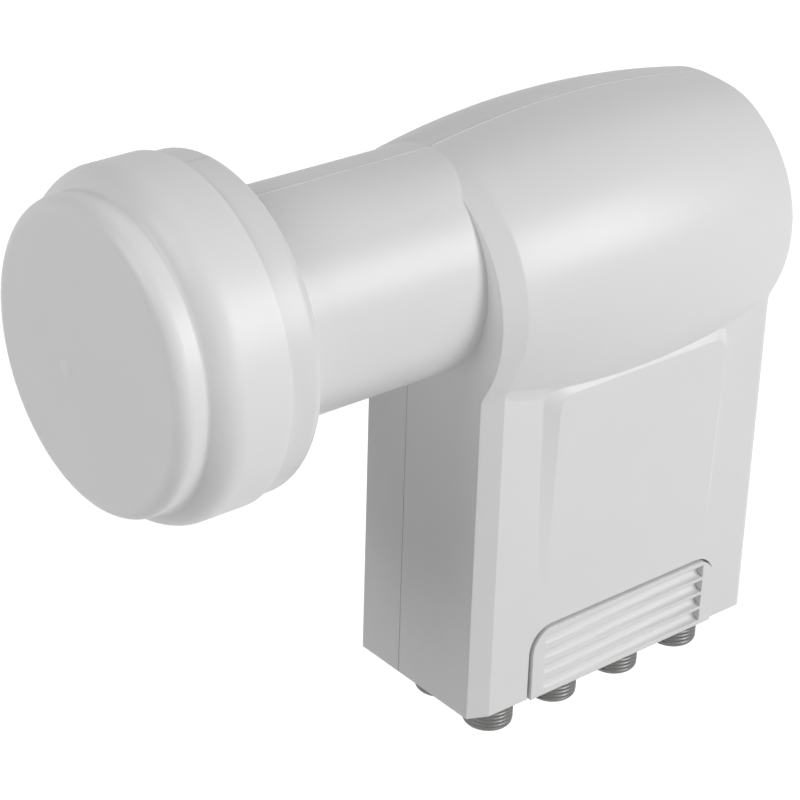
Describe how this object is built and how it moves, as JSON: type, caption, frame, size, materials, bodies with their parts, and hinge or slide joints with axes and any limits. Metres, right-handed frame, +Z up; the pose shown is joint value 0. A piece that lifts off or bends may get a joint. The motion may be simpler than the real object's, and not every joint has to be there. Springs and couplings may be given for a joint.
{
  "type": "satellite lnb",
  "caption": "Satellite dish feed unit: stepped feed cap, round clamp neck and a deep keyhole housing with threaded coaxial ports below and a ribbed sliding weather cover.",
  "frame": {"origin": "middle of the clamped feed neck, on its axis", "axes": "+Y along the neck axis from the feed cap to the housing, so the horn looks along -Y; +Z up, with the ports pointing down; +X towards the wider half of the housing"},
  "size_m": [0.0596, 0.1355, 0.1235],
  "materials": {
    "shell_plastic": "satin, off-white moulded plastic",
    "cap_plastic": "satin, off-white thin-walled plastic",
    "cover_plastic": "satin, off-white moulded plastic",
    "seal_rubber": "matte black",
    "cast_metal": "as cast",
    "lid_metal": "smooth sheet",
    "gasket_rubber": "matte, conductive",
    "board": "green laminate",
    "screw_steel": "zinc plated",
    "chip": "moulded black",
    "crystal_can": "bright can",
    "probe_metal": "bright",
    "sleeve_plastic": "white fluoropolymer",
    "rod_metal": "bright",
    "port_metal": "dark nickel plate",
    "insulator_plastic": "white",
    "contact_metal": "plated spring contact"
  },
  "bodies": {
    "housing": {"right_shell": "shell_plastic", "left_shell": "shell_plastic", "feed_cap": "cap_plastic", "cap_seal": "seal_rubber", "horn_casting": "cast_metal", "chassis_lid": "lid_metal", "rear_lid": "lid_metal", "lid_gasket": "gasket_rubber", "rf_board": "board", "near_switch_board": "board", "far_switch_board": "board", "lid_screws": "screw_steel", "rear_lid_screws": "screw_steel", "near_board_screws": "screw_steel", "far_board_screws": "screw_steel", "low_noise_transistors": "chip", "converter_chip": "chip", "near_switch_chips": "chip", "far_switch_chips": "chip", "near_voltage_regulators": "chip", "far_voltage_regulators": "chip", "quartz_crystal": "crystal_can", "horizontal_probe": "probe_metal", "vertical_probe": "probe_metal", "horizontal_probe_sleeve": "sleeve_plastic", "vertical_probe_sleeve": "sleeve_plastic", "isolation_rod": "rod_metal", "f_connector_1": "port_metal", "port_insulator_1": "insulator_plastic", "port_contact_1": "contact_metal", "f_connector_2": "port_metal", "port_insulator_2": "insulator_plastic", "port_contact_2": "contact_metal", "f_connector_3": "port_metal", "port_insulator_3": "insulator_plastic", "port_contact_3": "contact_metal", "f_connector_4": "port_metal", "port_insulator_4": "insulator_plastic", "port_contact_4": "contact_metal", "f_connector_5": "port_metal", "port_insulator_5": "insulator_plastic", "port_contact_5": "contact_metal", "f_connector_6": "port_metal", "port_insulator_6": "insulator_plastic", "port_contact_6": "contact_metal", "f_connector_7": "port_metal", "port_insulator_7": "insulator_plastic", "port_contact_7": "contact_metal", "f_connector_8": "port_metal", "port_insulator_8": "insulator_plastic", "port_contact_8": "contact_metal"},
    "weather_cover": {"weather_cover": "cover_plastic"}
  },
  "joints": [
    {"name": "cover_slide", "type": "slide", "parent": "housing", "child": "weather_cover", "axis": [0, 0, -1], "range_m": [0, 0.022]}
  ]
}
